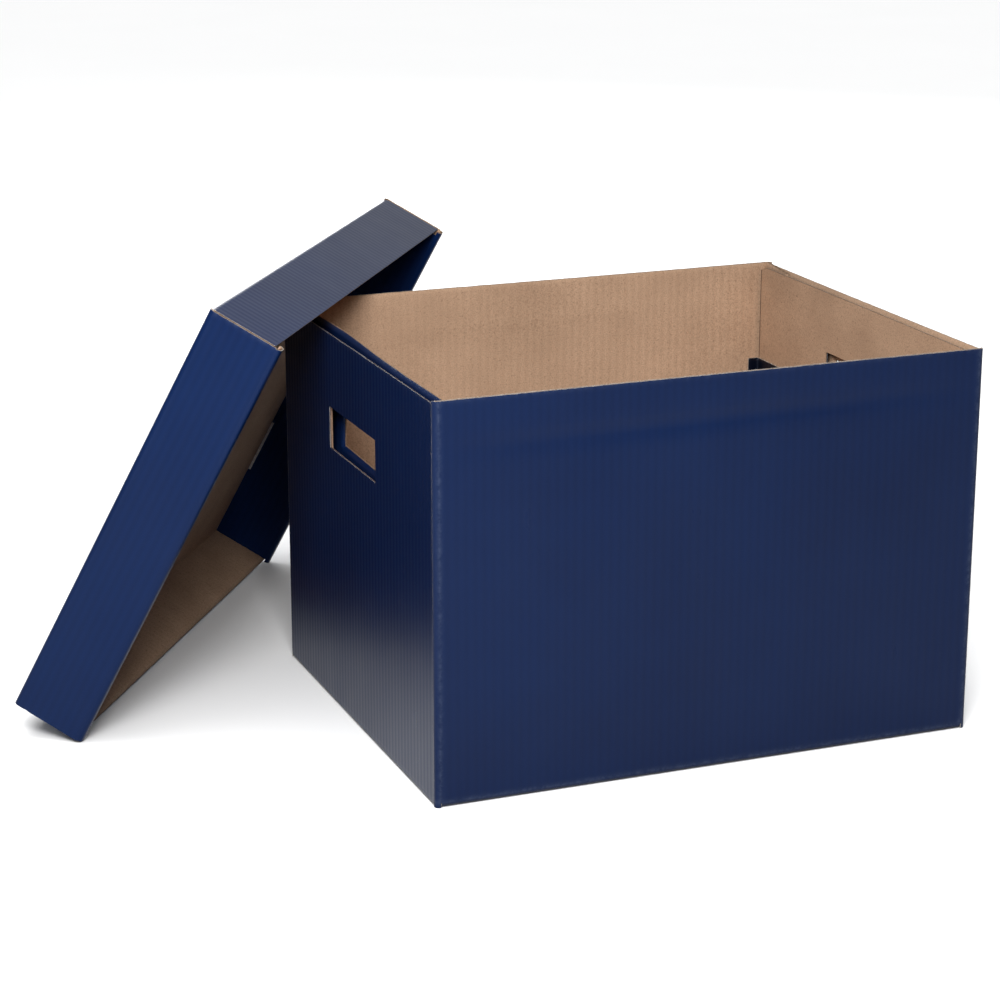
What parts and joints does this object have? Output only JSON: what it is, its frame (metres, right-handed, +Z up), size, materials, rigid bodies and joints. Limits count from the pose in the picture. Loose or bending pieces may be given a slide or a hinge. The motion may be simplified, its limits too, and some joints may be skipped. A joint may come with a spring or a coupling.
{
  "type": "archival box",
  "caption": "Corrugated board storage box with folded double end walls, hand holes and a separate rolled-rim lid leaning against one corner.",
  "frame": {"origin": "centre of the box's underside, in the plane of the floor", "axes": "+X to the right along the front panel, +Y to the back panel, +Z up; the lid stands on the same floor and leans on the back left corner"},
  "size_m": [0.6308, 0.5783, 0.3155],
  "materials": {
    "navy_board": "satin coated print outside, bare kraft inside",
    "kraft_board": "bare kraft",
    "lid_board": "satin coated print outside, bare kraft inside"
  },
  "bodies": {
    "box": {"front_panel": "navy_board", "back_panel": "navy_board", "left_end_panel": "navy_board", "right_end_panel": "navy_board", "glue_tab": "kraft_board", "front_base_flap": "navy_board", "back_base_flap": "navy_board", "left_base_flap": "navy_board", "right_base_flap": "navy_board", "base_liner": "kraft_board"},
    "left_inner": {"left_inner_end": "navy_board"},
    "right_inner": {"right_inner_end": "navy_board", "corner_tab": "navy_board"},
    "lid": {"lid_top": "lid_board", "lid_upper_rim": "lid_board", "lid_lower_rim": "lid_board", "lid_near_rim": "lid_board", "lid_far_rim": "lid_board", "lid_near_ridge": "lid_board", "lid_far_ridge": "lid_board", "lid_near_liner": "lid_board", "lid_far_liner": "lid_board", "lid_near_upper_ear": "lid_board", "lid_near_lower_ear": "lid_board", "lid_far_upper_ear": "lid_board", "lid_far_lower_ear": "lid_board"}
  },
  "joints": [
    {"name": "left_inner_end_fold", "type": "hinge", "parent": "box", "child": "left_inner", "pos_m": [-0.1895, 0, 0.0095], "axis": [0, 1, 0], "range_deg": [0, 88]},
    {"name": "right_inner_end_fold", "type": "hinge", "parent": "box", "child": "right_inner", "pos_m": [0.1895, 0, 0.0095], "axis": [0, -1, 0], "range_deg": [0, 78]},
    {"name": "lid_lift", "type": "slide", "parent": "box", "child": "lid", "axis": [-0.7245, 0.5054, 0.4687], "range_m": [0, 0.3]}
  ]
}
